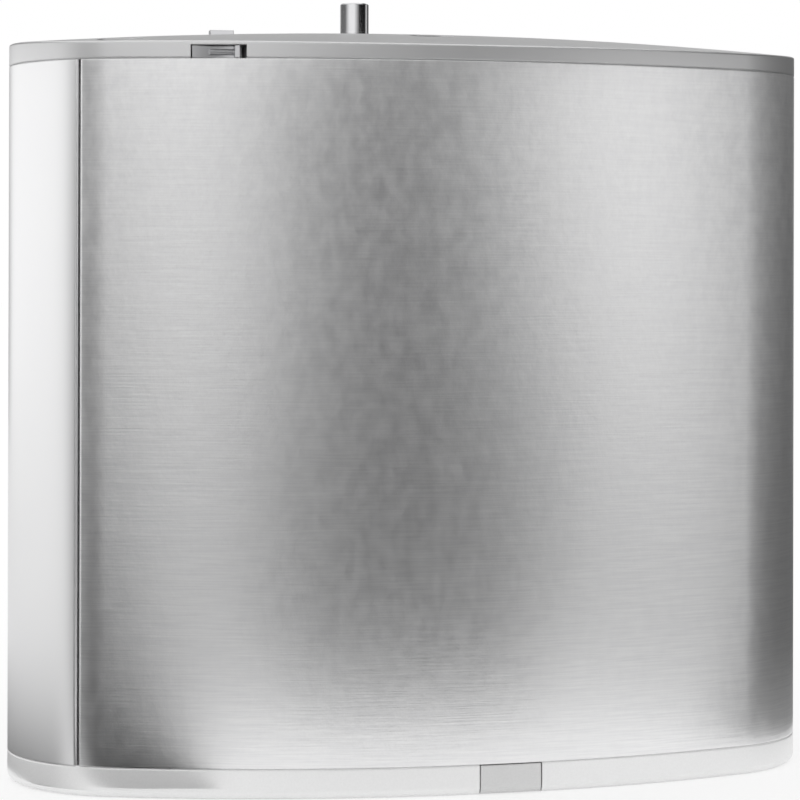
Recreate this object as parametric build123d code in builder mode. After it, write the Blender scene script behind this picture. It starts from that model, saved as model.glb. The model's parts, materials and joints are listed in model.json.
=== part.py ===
from build123d import *
import os
from math import acos, asin, cos, degrees, pi, radians, sin, sqrt, tan

# Curtain motor. Millimetres, +Z up, front towards -Y, origin under the middle of the bottom cap.

# Housing
housing_width = 120.0
housing_depth = 52.0
end_radius = 19.0
body_height = 100.0
wall = 1.6
seam_x = 51.0
seam_gap = 0.3
seam_edge_radius = 0.4
tongue_thickness = 1.0
tongue_reach = 4.0
tongue_root = 3.0
tongue_end_gap = 0.3
slide_gap = 0.05

# Caps
bottom_rim = 4.4
bottom_edge_radius = 1.2
bottom_floor = 2.0
bottom_rim_wall = 2.6
top_rim = 2.3
crown_rise = 3.3
crown_end_drop = 2.4
crown_overrun = 1.1
cap_edge_bevel = 0.25
rim_edge_radius = 0.3
pocket_inset = 6.0
pocket_depth = 1.5
spigot_clearance = 0.1
spigot_wall = 2.0
top_spigot = 3.0
bottom_spigot = 6.0

# Drive shaft and its bushes
shaft_x = -8.5
shaft_diameter = 4.3
shaft_reach = 4.8
shaft_shoulder = 0.1
shaft_journal_diameter = 5.0
shaft_tip_bevel = 0.15
shaft_core_diameter = 6.0
shaft_foot_gap = 0.2
thrust_gap = 0.3
running_clearance = 0.03
bush_wall = 1.8
bush_flange_height = 1.0
bush_flange_reach = 1.2
shaft_opening_gap = 0.25
cap_lip = 1.4
bush_boss_wall = 1.5
clip_thickness = 0.6
clip_reach = 1.4
clip_groove_depth = 0.6
clip_mouth = 3.6

# Gears
gear_module = 0.8
pressure_angle = 25.0
pinion_teeth = 12
wheel_teeth = 42
addendum = 0.9
dedendum = 1.15
backlash = 0.08
wheel_face = 5.0
pinion_face = 6.0
stage_gap = 0.5
gear_end_gap = 1.0
hub_radius = 5.0
web_thickness = 2.4
web_rim = 1.9
lightening_holes = 6
lightening_radius = 2.4
pin_diameter = 3.0

# Gearbox
gearbox_end_x = 30.0
gearbox_radius = 20.0
gearbox_floor = 2.5
gearbox_wall = 1.4
gearbox_cover_thickness = 2.5
cover_gap = 0.1
ear_radius = 3.0
left_ear_offset = -5.5
left_ear_y = 20.2
right_ear_y = 17.0

# Motor
motor_radius = 14.0
motor_length = 42.0
can_wall = 1.2
can_front = 2.0
magnet_length = 28.0
magnet_thickness = 3.0
magnet_gap_width = 8.0
air_gap = 0.5
armature_length = 26.0
armature_slots = 5
armature_slot_width = 1.6
armature_slot_depth = 3.6
commutator_radius = 3.2
commutator_length = 6.0
brush_width = 2.4
brush_lift = 2.6
brush_end_gap = 0.1
motor_shaft_diameter = 3.0
motor_bush_radius = 3.5
motor_bush_length = 4.0
end_cap_thickness = 4.0
end_cap_spigot = 6.0
end_cap_bore = 8.0
motor_screw_radius = 9.0
encoder_magnet_radius = 5.0
encoder_magnet_thickness = 1.8
encoder_gap = 0.6
encoder_board_radius = 12.5
encoder_board_thickness = 1.2
encoder_post_radius = 1.6
encoder_post_place = 10.4
sensor_size = 3.0
sensor_height = 0.9
sensor_offset = 3.0

# Screws
screw_diameter = 2.5
screw_head_radius = 2.4
screw_head_height = 1.6
screw_socket_radius = 1.1
screw_socket_depth = 1.0
screw_clearance = 0.15
screw_bite = 8.0

# Chassis
chassis_thickness = 2.0
chassis_gap = 0.3
chassis_half_width = 45.0
chassis_head_room = 2.2
shelf_thickness = 3.0
shelf_left = -8.0
shelf_right = 14.0
shelf_front_y = 12.0
shelf_screw_y = 17.0
shelf_screw_inset = 5.0
cradle_height = 3.0
cradle_gap = 0.1
cradle_reach = 12.0
cradle_front_y = 6.0
cradle_levels = (8.0, 31.0)
foot_x = 38.0
foot_y = 13.2
foot_radius = 3.6
foot_height = 12.0
foot_lift = 1.0
foot_web = 4.0
post_radius = 2.6
window_width = 16.0
window_height = 14.0

# Control board and what it carries
board_thickness = 1.6
board_left = -46.0
board_right = 12.0
board_bottom = 22.0
board_head_room = 5.5
board_front_y = 6.4
board_corner = 2.0
board_hole_inset = 4.0
module_x = -33.0
module_z = 40.0
module_width = 24.0
module_height = 18.0
module_depth = 15.0
module_bevel = 1.0
capacitor_x = -32.0
component_gap = 1.0
capacitor_radius = 6.3
capacitor_length = 20.0
capacitor_groove = 0.5
relay_x = -9.0
relay_z = 33.0
relay_width = 15.0
relay_height = 10.0
relay_depth = 12.0
relay_edge_radius = 0.5
radio_x = -8.5
radio_drop = 12.0
radio_width = 18.0
radio_height = 14.0
radio_board = 0.8
radio_can_inset = 1.5
radio_can_depth = 2.2
plug_x = 5.5
plug_z = 47.0
plug_width = 8.0
plug_height = 12.0
plug_depth = 7.0
plug_wall = 1.0

# Interface board and its sockets
interface_z = 13.0
interface_left = -40.0
interface_right = 20.0
interface_front_y = -18.0
interface_back_y = 4.0
interface_post_radius = 2.4
interface_posts = [(-36.5, -13.0), (15.5, -1.0)]
header_x = -12.0
header_width = 20.0
header_depth = 3.0
header_height = 10.0
header_pins = 8
header_pin = 0.6
header_pin_pitch = 2.4
socket_y = -7.0
socket_clearance = 0.15
socket_recess = 0.5
socket_flange = 1.5
power_socket_x = -26.0
power_socket_width = 13.0
power_socket_depth = 11.0
power_bore = 6.0
power_pin = 2.1
control_socket_x = -4.0
control_socket_width = 14.0
control_socket_depth = 12.0
control_port_width = 9.8
control_port_depth = 6.8
control_key_width = 3.4
control_key_depth = 1.8
port_length = 9.0
port_shift = 1.0

# Setting button and its switch
button_x = 9.75
button_width = 9.3
button_gap = 0.15
button_setback = 0.05
button_face = 1.6
button_travel = 0.6
button_opening_inset = 5.0
button_stem_width = 6.0
button_leg_thickness = 1.6
button_wing_width = 13.0
button_wing_height = 3.5
switch_gap = 0.1
switch_width = 6.0
switch_depth = 3.6
switch_height = 3.8
plunger_radius = 1.1
plunger_length = 1.0

# Release latch, its guide and its spring
latch_x = -32.0
latch_width = 7.7
latch_gap = 0.2
latch_side_gap = 0.9
latch_roof = 0.35
latch_setback = 0.2
latch_face = 2.2
latch_scoop = 1.2
latch_scoop_share = 0.75
latch_rib = 0.7
latch_grip_radius = 0.4
latch_grip_length = 3.4
latch_travel = 2.0
latch_stop_gap = 0.3
latch_arm_left = -33.0
latch_arm_right = -28.7
latch_arm_gap = 0.1
latch_tail_front_y = -5.0
latch_tail_back_y = 1.0
pawl_x = -28.7
pawl_width = 3.5
pawl_length = 2.6
pawl_rise = 0.95
pawl_gap = 0.3
guide_thickness = 1.0
guide_left = -38.5
guide_right = -26.6
guide_front_y = -15.5
guide_back_y = 11.0
guide_post_x = -36.4
guide_post_radius = 2.0
guide_post_places = (-11.5, 7.0)
guide_rail = 0.7
guide_stop_y = 5.0
guide_stop_thickness = 1.2
guide_screw_diameter = 1.6
guide_screw_head_radius = 1.5
guide_screw_head_height = 0.8
spring_strip = 0.35
spring_touch = 0.05

# Hook slots of the crown
left_hook_x = -45.2
right_hook_x = 0.2
hook_y = -15.5
hook_length = 6.7
hook_width = 4.0

# Levels
body_base = bottom_rim
body_top = body_base + body_height
rim_top = body_top + top_rim
crown_top = rim_top + crown_rise
pocket_top = body_top + pocket_depth
gearbox_top = body_top - top_spigot - cover_gap
cover_base = gearbox_top - gearbox_cover_thickness
pinion_top = cover_base - gear_end_gap
upper_level = pinion_top - pinion_face
lower_level = upper_level - stage_gap - wheel_face
tray_floor_top = lower_level - gear_end_gap
tray_base = tray_floor_top - gearbox_floor
motor_base = tray_base - motor_length
can_base = motor_base + end_cap_thickness
encoder_magnet_base = motor_base - encoder_gap - encoder_magnet_thickness
encoder_board_top = encoder_magnet_base - encoder_gap - sensor_height
bottom_spigot_top = body_base + bottom_spigot
foot_base = body_base + foot_lift
board_top = tray_base - shelf_thickness - board_head_room
board_back_y = board_front_y + board_thickness
capacitor_z = module_z + module_height / 2 + component_gap + capacitor_radius
radio_z = board_top - radio_drop
interface_top = interface_z + board_thickness

# Radii
shaft_radius = shaft_diameter / 2
journal_radius = shaft_journal_diameter / 2
core_radius = shaft_core_diameter / 2
pin_radius = pin_diameter / 2
motor_shaft_radius = motor_shaft_diameter / 2
bush_radius = journal_radius + running_clearance + bush_wall
magnet_radius = motor_radius - can_wall
armature_radius = magnet_radius - magnet_thickness - air_gap
screw_radius = screw_diameter / 2
screw_hole = screw_radius + screw_clearance

# Axes of the gear train, in line along X
centre_distance = gear_module * (pinion_teeth + wheel_teeth) / 2
idler_x = shaft_x + centre_distance
motor_x = idler_x + centre_distance
pinion_phase = 180 / pinion_teeth

# Places of the screws
ear_places = [
    (shaft_x + left_ear_offset, left_ear_y),
    (shaft_x + left_ear_offset, -left_ear_y),
    (gearbox_end_x, right_ear_y),
    (gearbox_end_x, -right_ear_y),
]
shelf_places = [
    (shelf_left + shelf_screw_inset, shelf_screw_y),
    (shelf_right - shelf_screw_inset, shelf_screw_y),
]
foot_places = [(-foot_x, foot_y), (foot_x, foot_y)]
motor_screw_places = [(motor_x, -motor_screw_radius), (motor_x, motor_screw_radius)]
guide_places = [(guide_post_x, y) for y in guide_post_places]
board_places = [
    (x, z)
    for x in (board_left + board_hole_inset, board_right - board_hole_inset)
    for z in (board_bottom + board_hole_inset, board_top - board_hole_inset)
]

end_centre = housing_width / 2 - end_radius
seam_angle = degrees(acos((seam_x - end_centre) / end_radius))


def face_radius(inset):
    """Radius of the long arcs of the front and back, moved inwards by inset."""
    chord = end_centre**2 + (housing_depth / 2) ** 2 - end_radius**2
    return chord / (2 * (housing_depth / 2 - end_radius)) - inset


def wall_y(x, inset):
    """Distance from the middle plane to the front or back surface at x."""
    return sqrt(face_radius(inset) ** 2 - x**2) - (face_radius(0) - housing_depth / 2)


def oval(inset):
    """The housing's section, two long arcs and two end arcs, moved inwards by inset."""
    radius = end_radius - inset
    half_width = housing_width / 2 - inset
    half_depth = housing_depth / 2 - inset
    lean = asin(end_centre / (face_radius(0) - end_radius))
    join_x = end_centre + radius * sin(lean)
    join_y = radius * cos(lean)
    with BuildSketch() as section:
        with BuildLine():
            ThreePointArc((-join_x, -join_y), (0, -half_depth), (join_x, -join_y))
            ThreePointArc((join_x, -join_y), (half_width, 0), (join_x, join_y))
            ThreePointArc((join_x, join_y), (0, half_depth), (-join_x, join_y))
            ThreePointArc((-join_x, join_y), (-half_width, 0), (-join_x, -join_y))
        make_face()
    return section.sketch


def ring(outer_inset, inner_inset):
    """The band between two insets of the housing's section."""
    with BuildSketch() as band:
        add(oval(outer_inset))
        add(oval(inner_inset), mode=Mode.SUBTRACT)
    return band.sketch


def cover_region(shift):
    """Plan of what the front cover fills, both seams drawn back by shift along the wall."""
    reach = 2 * housing_width
    turn = shift / end_radius
    left_angle = radians(seam_angle) + turn
    right_angle = radians(seam_angle) - turn
    left = (-end_centre - reach * cos(left_angle), -reach * sin(left_angle))
    right = (end_centre + reach * cos(right_angle), reach * sin(right_angle))
    corner = 2 * reach
    with BuildSketch() as region:
        with BuildLine():
            Polyline(
                (-end_centre, 0),
                left,
                (left[0], -corner),
                (corner, -corner),
                (corner, right[1]),
                right,
                (end_centre, 0),
                close=True,
            )
        make_face()
    return region.sketch


def seam_point(side):
    """Point of the outer wall at a seam: side is -1 at the front left, 1 at the back right."""
    turn = radians(seam_angle)
    return (
        side * (end_centre + end_radius * cos(turn)),
        side * end_radius * sin(turn),
        body_base + body_height / 2,
    )


def crown_block():
    """All that lies under the crowned top: an arc across the depth, lofted along the width."""
    half_depth = housing_depth / 2
    across = (half_depth**2 + crown_rise**2) / (2 * crown_rise)
    edge_y = crown_overrun * half_depth
    edge_drop = across - sqrt(across**2 - edge_y**2)
    with BuildPart() as block:
        for share in (-crown_overrun, -crown_overrun / 2, 0, crown_overrun / 2, crown_overrun):
            peak = crown_top - crown_end_drop * share**2
            with BuildSketch(Plane.YZ.offset(share * housing_width / 2)):
                with BuildLine():
                    ThreePointArc((-edge_y, peak - edge_drop), (0, peak), (edge_y, peak - edge_drop))
                    Polyline(
                        (edge_y, peak - edge_drop),
                        (edge_y, body_base),
                        (-edge_y, body_base),
                        (-edge_y, peak - edge_drop),
                    )
                make_face()
        loft()
    return block.part


def bottom_shell(inset):
    """Rounded block of the bottom rim, moved inwards by inset all round the side."""
    with BuildPart() as shell:
        with BuildSketch():
            add(oval(inset))
        extrude(amount=bottom_rim)
        fillet(shell.faces().sort_by(Axis.Z)[0].edges(), bottom_edge_radius - inset)
        chamfer(shell.faces().sort_by(Axis.Z)[-1].edges(), cap_edge_bevel)
    return shell.part


def gear_outline(teeth, phase, flank_steps):
    """Spur gear with involute flanks and a tooth centred at the angle phase."""
    pitch_radius = gear_module * teeth / 2
    base_radius = pitch_radius * cos(radians(pressure_angle))
    tip_radius = pitch_radius + addendum * gear_module
    root_radius = pitch_radius - dedendum * gear_module
    involute_start = max(base_radius, root_radius)

    def involute(radius):
        slope = acos(base_radius / radius)
        return tan(slope) - slope

    half_tooth = pi / (2 * teeth) - backlash / (4 * pitch_radius) + involute(pitch_radius)
    flank = []
    if root_radius < base_radius:
        flank.append((root_radius, half_tooth))
    for step in range(flank_steps + 1):
        radius = involute_start + (tip_radius - involute_start) * step / flank_steps
        flank.append((radius, half_tooth - involute(radius)))
    points = []
    for tooth in range(teeth):
        middle = radians(phase) + 2 * pi * tooth / teeth
        for radius, turn in flank:
            points.append((radius * cos(middle - turn), radius * sin(middle - turn)))
        for radius, turn in reversed(flank):
            points.append((radius * cos(middle + turn), radius * sin(middle + turn)))
    with BuildSketch() as outline:
        with BuildLine():
            Polyline(*points, close=True)
        make_face()
    return outline.sketch


def gear_web():
    """Ring that is thinned between a wheel's hub and its toothed rim."""
    root_radius = gear_module * wheel_teeth / 2 - dedendum * gear_module
    with BuildSketch() as web:
        Circle(root_radius - web_rim)
        Circle(hub_radius, mode=Mode.SUBTRACT)
    return web.sketch


def wheel_holes():
    """Lightening holes of a wheel, midway between its hub and its rim."""
    root_radius = gear_module * wheel_teeth / 2 - dedendum * gear_module
    with BuildSketch() as holes:
        with PolarLocations((hub_radius + root_radius - web_rim) / 2, lightening_holes):
            Circle(lightening_radius)
    return holes.sketch


def gearbox_slot(inset):
    """Slot round the gear train, moved inwards by inset."""
    with BuildSketch() as plan:
        with Locations(((shaft_x + gearbox_end_x) / 2, 0)):
            SlotCenterToCenter(gearbox_end_x - shaft_x, 2 * (gearbox_radius - inset))
    return plan.sketch


def gearbox_plan():
    """Outline of the gearbox: the slot with an ear round each long screw."""
    with BuildSketch() as plan:
        add(gearbox_slot(0))
        with Locations(*ear_places):
            Circle(ear_radius)
    return plan.sketch


def cap_screw(length, radius, head_radius, head_height):
    """Socket head screw that points up, with the underside of its head at the origin."""
    with BuildPart() as screw:
        with BuildSketch(Plane.XY.offset(-head_height)):
            Circle(head_radius)
        extrude(amount=head_height)
        chamfer(screw.edges().sort_by(Axis.Z)[0], head_height / 6)
        with BuildSketch():
            Circle(radius)
        extrude(amount=length)
        with BuildSketch(Plane.XY.offset(-head_height)):
            RegularPolygon(head_radius * screw_socket_radius / screw_head_radius, 6)
        extrude(amount=head_height * screw_socket_depth / screw_head_height, mode=Mode.SUBTRACT)
    return screw.part


def screw_group(places, level, length, flipped=False):
    """Identical screws at a list of places, heads at a level, pointing up or down."""
    screw = cap_screw(length, screw_radius, screw_head_radius, screw_head_height)
    if flipped:
        screw = screw.rotate(Axis.X, 180)
    return [screw.moved(Location((x, y, level))) for x, y in places]


os.makedirs("parts", exist_ok=True)

# Front cover: brushed aluminium, round the front and the right end
with BuildPart() as front_cover:
    with BuildSketch(Plane.XY.offset(body_base)):
        add(ring(0, wall))
        add(cover_region(0), mode=Mode.INTERSECT)
    extrude(amount=body_height)
    for side in (-1, 1):
        edge = front_cover.edges().filter_by(Axis.Z).sort_by_distance(seam_point(side))[0]
        fillet(edge, seam_edge_radius)
front_cover.part.label = "front_cover"
export_step(front_cover.part, "parts/front_cover.step")

# Rear shell: smooth aluminium, round the back and the left end, with a tongue behind each seam
with BuildPart() as rear_shell:
    with BuildSketch(Plane.XY.offset(body_base)):
        add(ring(0, wall))
        add(cover_region(-seam_gap), mode=Mode.SUBTRACT)
    extrude(amount=body_height)
    for side in (-1, 1):
        edge = rear_shell.edges().filter_by(Axis.Z).sort_by_distance(seam_point(side))[0]
        fillet(edge, seam_edge_radius)
    tongue_inset = wall + slide_gap
    tongue_base = bottom_spigot_top + tongue_end_gap
    tongue_top = body_top - top_spigot - tongue_end_gap
    with BuildSketch(Plane.XY.offset(tongue_base)):
        add(ring(tongue_inset, tongue_inset + tongue_thickness))
        add(cover_region(-tongue_root), mode=Mode.INTERSECT)
        add(cover_region(tongue_reach), mode=Mode.SUBTRACT)
    extrude(amount=tongue_top - tongue_base)
    with BuildSketch(Plane.XY.offset(tongue_base)):
        add(ring(wall / 2, tongue_inset + tongue_thickness))
        add(cover_region(-tongue_root), mode=Mode.INTERSECT)
        add(cover_region(-seam_gap), mode=Mode.SUBTRACT)
    extrude(amount=tongue_top - tongue_base)
rear_shell.part.label = "rear_shell"
export_step(rear_shell.part, "parts/rear_shell.step")

# Top cap: crowned casting with the shaft opening, hook slots, latch notch and gearbox bosses
latch_notch_inset = latch_setback + latch_face + latch_travel + latch_stop_gap
latch_surface_y = -wall_y(latch_x, 0)
pawl_front_y = latch_tail_back_y - pawl_length
with BuildPart() as top_cap:
    with BuildSketch(Plane.XY.offset(body_top)):
        add(oval(0))
    extrude(amount=top_rim + crown_rise)
    add(crown_block(), mode=Mode.INTERSECT)
    chamfer(top_cap.faces().sort_by(Axis.Z)[0].edges(), cap_edge_bevel)
    fillet(top_cap.faces().sort_by(Axis.Z)[-1].edges(), rim_edge_radius)
    with BuildSketch(Plane.XY.offset(body_top)):
        add(oval(pocket_inset))
    extrude(amount=pocket_depth, mode=Mode.SUBTRACT)
    with BuildSketch(Plane.XY.offset(body_top - top_spigot)):
        add(ring(wall + spigot_clearance, wall + spigot_clearance + spigot_wall))
    extrude(amount=top_spigot)
    with BuildSketch(Plane.XY.offset(gearbox_top)):
        with Locations(*ear_places):
            Circle(ear_radius)
        with Locations((shaft_x, 0)):
            Circle(bush_radius + bush_boss_wall)
    extrude(amount=pocket_top - gearbox_top)
    with BuildSketch(Plane.XY.offset(body_top)):
        with Locations(*guide_places):
            Circle(guide_post_radius)
    extrude(amount=pocket_depth)
    with BuildSketch(Plane.XY.offset(gearbox_top)):
        with Locations((shaft_x, 0)):
            Circle(bush_radius)
    extrude(amount=crown_top - cap_lip - gearbox_top, mode=Mode.SUBTRACT)
    with BuildSketch(Plane.XY.offset(gearbox_top)):
        with Locations((shaft_x, 0)):
            Circle(journal_radius + shaft_opening_gap)
    extrude(amount=crown_top, mode=Mode.SUBTRACT)
    with BuildSketch(Plane.XY.offset(body_top)):
        with Locations((left_hook_x, hook_y), (right_hook_x, hook_y)):
            SlotOverall(hook_length, hook_width)
    extrude(amount=crown_top, mode=Mode.SUBTRACT)
    with BuildSketch(Plane.XY.offset(gearbox_top)):
        with Locations(*ear_places):
            Circle(screw_radius)
    extrude(amount=pocket_depth + top_spigot, mode=Mode.SUBTRACT)
    with BuildSketch(Plane.XY.offset(body_top)):
        with Locations(*guide_places):
            Circle(guide_screw_diameter / 2)
    extrude(amount=pocket_depth + guide_thickness, mode=Mode.SUBTRACT)
    with BuildSketch(Plane.XY.offset(body_top)):
        add(ring(-wall, latch_notch_inset))
        with Locations((latch_x, latch_surface_y)):
            Rectangle(latch_width, 2 * latch_notch_inset + 2 * wall, mode=Mode.INTERSECT)
    extrude(amount=top_rim - latch_roof, mode=Mode.SUBTRACT)
    with BuildSketch(Plane.XY.offset(body_top)):
        with Locations(((latch_arm_left + latch_arm_right) / 2, latch_surface_y + latch_notch_inset)):
            Rectangle(latch_arm_right - latch_arm_left + 2 * latch_gap, 2 * pocket_inset)
    extrude(amount=pocket_depth, mode=Mode.SUBTRACT)
    with BuildSketch(Plane.XY.offset(pocket_top)):
        with Locations((pawl_x, pawl_front_y - pawl_gap)):
            Rectangle(
                pawl_width + 2 * pawl_gap,
                pawl_length + latch_travel + 2 * pawl_gap,
                align=(Align.CENTER, Align.MIN),
            )
    extrude(amount=crown_top, mode=Mode.SUBTRACT)
top_cap.part.label = "top_cap"
export_step(top_cap.part, "parts/top_cap.step")

# Bottom cap: rounded rim, floor with two socket openings, button opening, posts and screw recesses
spigot_inset = wall + spigot_clearance + spigot_wall
leg_front_y = -wall_y(button_x + button_wing_width / 2, spigot_inset + button_gap)
play = 2 * socket_clearance
with BuildPart() as bottom_cap:
    add(bottom_shell(0))
    with BuildSketch(Plane.XY.offset(bottom_floor)):
        add(oval(bottom_rim_wall))
    extrude(amount=bottom_rim, mode=Mode.SUBTRACT)
    with BuildSketch(Plane.XY.offset(bottom_floor)):
        add(ring(wall + spigot_clearance, wall + spigot_clearance + spigot_wall))
    extrude(amount=bottom_spigot_top - bottom_floor)
    with BuildSketch(Plane.XY.offset(bottom_floor)):
        with Locations(*foot_places):
            Circle(foot_radius)
    extrude(amount=foot_base - bottom_floor)
    with BuildSketch(Plane.XY.offset(bottom_floor)):
        with Locations(*interface_posts):
            Circle(interface_post_radius)
    extrude(amount=interface_z - bottom_floor)
    with BuildSketch(Plane.XY.offset(interface_z - screw_bite)):
        with Locations(*interface_posts):
            Circle(screw_radius)
    extrude(amount=screw_bite, mode=Mode.SUBTRACT)
    with BuildSketch():
        with Locations(*foot_places):
            Circle(screw_head_radius + screw_clearance)
    extrude(amount=bottom_floor, mode=Mode.SUBTRACT)
    with BuildSketch():
        with Locations(*foot_places):
            Circle(screw_hole)
    extrude(amount=foot_base, mode=Mode.SUBTRACT)
    with BuildSketch():
        with Locations((power_socket_x, socket_y)):
            Rectangle(power_socket_width + play, power_socket_depth + play)
        with Locations((control_socket_x, socket_y)):
            Rectangle(control_socket_width + play, control_socket_depth + play)
    extrude(amount=bottom_floor, mode=Mode.SUBTRACT)
    with BuildSketch():
        add(ring(-wall, button_opening_inset))
        with Locations((button_x, -housing_depth / 2)):
            Rectangle(button_width, 2 * button_opening_inset + 2 * wall, mode=Mode.INTERSECT)
    extrude(amount=bottom_rim, mode=Mode.SUBTRACT)
    with BuildSketch(Plane.XY.offset(bottom_floor)):
        with Locations((button_x, -housing_depth / 2)):
            Rectangle(button_stem_width + 4 * button_gap, 2 * button_opening_inset + 2 * wall)
    extrude(amount=bottom_spigot_top, mode=Mode.SUBTRACT)
bottom_cap.part.label = "bottom_cap"
export_step(bottom_cap.part, "parts/bottom_cap.step")

# Chassis: curved back plate with the motor cradles, board posts, gearbox shelf and two feet
chassis_outer = wall + chassis_gap
chassis_inner = chassis_outer + chassis_thickness
chassis_base = bottom_spigot_top + chassis_gap
chassis_top = tray_base - chassis_head_room
with BuildPart() as chassis:
    with BuildSketch(Plane.XY.offset(chassis_base)):
        add(ring(chassis_outer, chassis_inner))
        Rectangle(
            2 * chassis_half_width, housing_depth, align=(Align.CENTER, Align.MIN), mode=Mode.INTERSECT
        )
    extrude(amount=chassis_top - chassis_base)
    for x in (-chassis_half_width / 2, 0):
        with BuildSketch(Plane.XZ):
            with Locations((x, (board_bottom + board_top) / 2)):
                RectangleRounded(window_width, window_height, board_corner)
        extrude(amount=-housing_depth, mode=Mode.SUBTRACT)
    for level in cradle_levels:
        with BuildSketch(Plane.XY.offset(can_base + level)):
            with Locations((motor_x, cradle_front_y)):
                Rectangle(2 * cradle_reach, housing_depth, align=(Align.CENTER, Align.MIN))
            with Locations((motor_x, 0)):
                Circle(motor_radius + cradle_gap, mode=Mode.SUBTRACT)
            add(oval(chassis_outer), mode=Mode.INTERSECT)
        extrude(amount=cradle_height)
    with BuildSketch(Plane.XY.offset(tray_base - shelf_thickness)):
        with Locations((shelf_left, shelf_front_y)):
            Rectangle(shelf_right - shelf_left, housing_depth, align=(Align.MIN, Align.MIN))
        add(oval(chassis_outer), mode=Mode.INTERSECT)
    extrude(amount=shelf_thickness)
    for x, y in foot_places:
        with BuildSketch(Plane.XY.offset(foot_base)):
            with Locations((x, y)):
                Circle(foot_radius)
        extrude(amount=foot_height)
        with BuildSketch(Plane.XY.offset(chassis_base)):
            with Locations((x, y)):
                Rectangle(foot_web, foot_radius + chassis_thickness, align=(Align.CENTER, Align.MIN))
            add(oval(chassis_outer), mode=Mode.INTERSECT)
        extrude(amount=foot_base + foot_height - chassis_base)
        with BuildSketch(Plane.XY.offset(foot_base)):
            with Locations((x, y)):
                Circle(screw_radius)
        extrude(amount=screw_bite, mode=Mode.SUBTRACT)
    for x, z in board_places:
        with BuildSketch(Plane.XZ.offset(-board_back_y)):
            with Locations((x, z)):
                Circle(post_radius)
        extrude(amount=-(wall_y(x, chassis_inner) - board_back_y + chassis_thickness / 2))
        with BuildSketch(Plane.XZ.offset(-board_back_y)):
            with Locations((x, z)):
                Circle(screw_radius)
        extrude(amount=-screw_bite, mode=Mode.SUBTRACT)
    with BuildSketch(Plane.XY.offset(tray_base - shelf_thickness)):
        with Locations(*shelf_places):
            Circle(screw_hole)
    extrude(amount=shelf_thickness, mode=Mode.SUBTRACT)
chassis.part.label = "chassis"
export_step(chassis.part, "parts/chassis.step")

# Gearbox tray: floor, wall and screw columns, with seats for the lower bush, idler pin and motor
with BuildPart() as gearbox_tray:
    with BuildSketch(Plane.XY.offset(tray_base)):
        add(gearbox_plan())
    extrude(amount=cover_base - tray_base)
    with BuildSketch(Plane.XY.offset(tray_floor_top)):
        add(gearbox_slot(gearbox_wall))
        with Locations(*ear_places):
            Circle(ear_radius, mode=Mode.SUBTRACT)
    extrude(amount=cover_base - tray_floor_top, mode=Mode.SUBTRACT)
    with BuildSketch(Plane.XY.offset(tray_base)):
        with Locations(*ear_places):
            Circle(screw_hole)
        with Locations((shaft_x, 0)):
            Circle(bush_radius)
        with Locations((idler_x, 0)):
            Circle(pin_radius)
        with Locations((motor_x, 0)):
            Circle(motor_bush_radius + running_clearance)
        with Locations(*motor_screw_places):
            Circle(screw_hole)
    extrude(amount=cover_base - tray_base, mode=Mode.SUBTRACT)
    with BuildSketch(Plane.XY.offset(tray_base)):
        with Locations(*shelf_places):
            Circle(screw_radius)
    extrude(amount=gearbox_floor, mode=Mode.SUBTRACT)
gearbox_tray.part.label = "gearbox_tray"
export_step(gearbox_tray.part, "parts/gearbox_tray.step")

# Gearbox cover: flat plate that closes the tray
with BuildPart() as gearbox_cover:
    with BuildSketch(Plane.XY.offset(cover_base)):
        add(gearbox_plan())
        with Locations(*ear_places):
            Circle(screw_hole, mode=Mode.SUBTRACT)
        with Locations((shaft_x, 0)):
            Circle(core_radius + thrust_gap, mode=Mode.SUBTRACT)
        with Locations((idler_x, 0)):
            Circle(pin_radius, mode=Mode.SUBTRACT)
    extrude(amount=gearbox_cover_thickness)
gearbox_cover.part.label = "gearbox_cover"
export_step(gearbox_cover.part, "parts/gearbox_cover.step")

# Drive shaft: thick core in the gearbox, thinner journals, a plain round free end
core_base = tray_floor_top + bush_flange_height + thrust_gap
core_top = gearbox_top - thrust_gap
clip_base = upper_level + pinion_face
with BuildPart() as drive_shaft:
    with BuildSketch(Plane.XY.offset(tray_base + shaft_foot_gap)):
        with Locations((shaft_x, 0)):
            Circle(journal_radius)
    extrude(amount=crown_top + shaft_shoulder - tray_base - shaft_foot_gap)
    with BuildSketch(Plane.XY.offset(crown_top + shaft_shoulder)):
        with Locations((shaft_x, 0)):
            Circle(shaft_radius)
    extrude(amount=shaft_reach - shaft_shoulder)
    chamfer(drive_shaft.edges().filter_by(GeomType.CIRCLE).sort_by(Axis.Z)[-1], shaft_tip_bevel)
    chamfer(drive_shaft.edges().filter_by(GeomType.CIRCLE).sort_by(Axis.Z)[0], shaft_tip_bevel)
    with BuildSketch(Plane.XY.offset(core_base)):
        with Locations((shaft_x, 0)):
            Circle(core_radius)
    extrude(amount=core_top - core_base)
    with BuildSketch(Plane.XY.offset(clip_base)):
        with Locations((shaft_x, 0)):
            Circle(core_radius)
            Circle(core_radius - clip_groove_depth, mode=Mode.SUBTRACT)
    extrude(amount=clip_thickness, mode=Mode.SUBTRACT)
drive_shaft.part.label = "drive_shaft"
export_step(drive_shaft.part, "parts/drive_shaft.step")

# Upper bush: plain bearing pressed into the top cap from below
with BuildPart() as upper_bush:
    with BuildSketch(Plane.XY.offset(gearbox_top)):
        with Locations((shaft_x, 0)):
            Circle(bush_radius)
            Circle(journal_radius + running_clearance, mode=Mode.SUBTRACT)
    extrude(amount=crown_top - cap_lip - gearbox_top)
upper_bush.part.label = "upper_bush"
export_step(upper_bush.part, "parts/upper_bush.step")

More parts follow.
